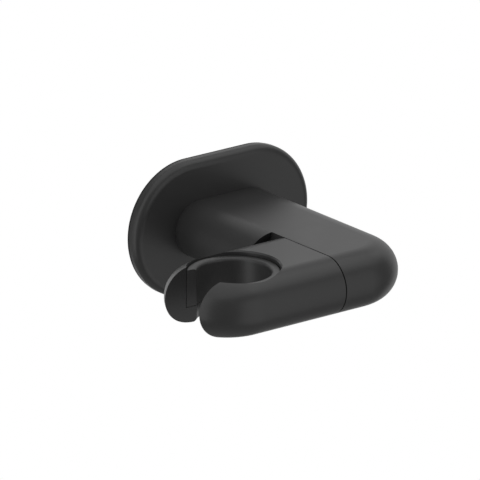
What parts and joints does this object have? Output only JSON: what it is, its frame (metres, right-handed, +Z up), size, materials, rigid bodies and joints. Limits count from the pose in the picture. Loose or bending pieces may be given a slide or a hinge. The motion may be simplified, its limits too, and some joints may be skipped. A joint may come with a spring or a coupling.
{
  "type": "hand shower holder",
  "caption": "Matt black wall holder for a hand shower: rounded wall plate, elbow arm and a swivelling cup with a plastic liner and a side slot for the hose.",
  "frame": {"origin": "middle of the wall plate, on the wall, half-way between the two screw holes", "axes": "+Z up, +Y into the wall, so the holder stands out towards -Y; the cup lies to the -X side of the arm"},
  "size_m": [0.0909, 0.0781, 0.0432],
  "materials": {
    "black_coating": "matt black coating on a zinc casting",
    "liner_plastic": "satin moulded plastic",
    "bush_plastic": "plain moulded plastic",
    "seal_rubber": "matt",
    "bracket_metal": "as cast",
    "insert_brass": "turned",
    "screw_steel": "plain stainless"
  },
  "bodies": {
    "wall_mount": {"wall_body": "black_coating", "wall_seal": "seal_rubber", "wall_bracket": "bracket_metal", "grub_screw": "screw_steel", "threaded_insert": "insert_brass", "pivot_bolt": "screw_steel", "disc_springs": "screw_steel"},
    "swivel_cup": {"holder_body": "black_coating", "cup_liner": "liner_plastic", "swivel_bush": "bush_plastic", "flat_washer": "screw_steel"}
  },
  "joints": [
    {"name": "swivel", "type": "hinge", "parent": "wall_mount", "child": "swivel_cup", "pos_m": [-0.0108, -0.0594, 0], "axis": [1, 0, 0], "range_deg": [-40, 40]}
  ]
}
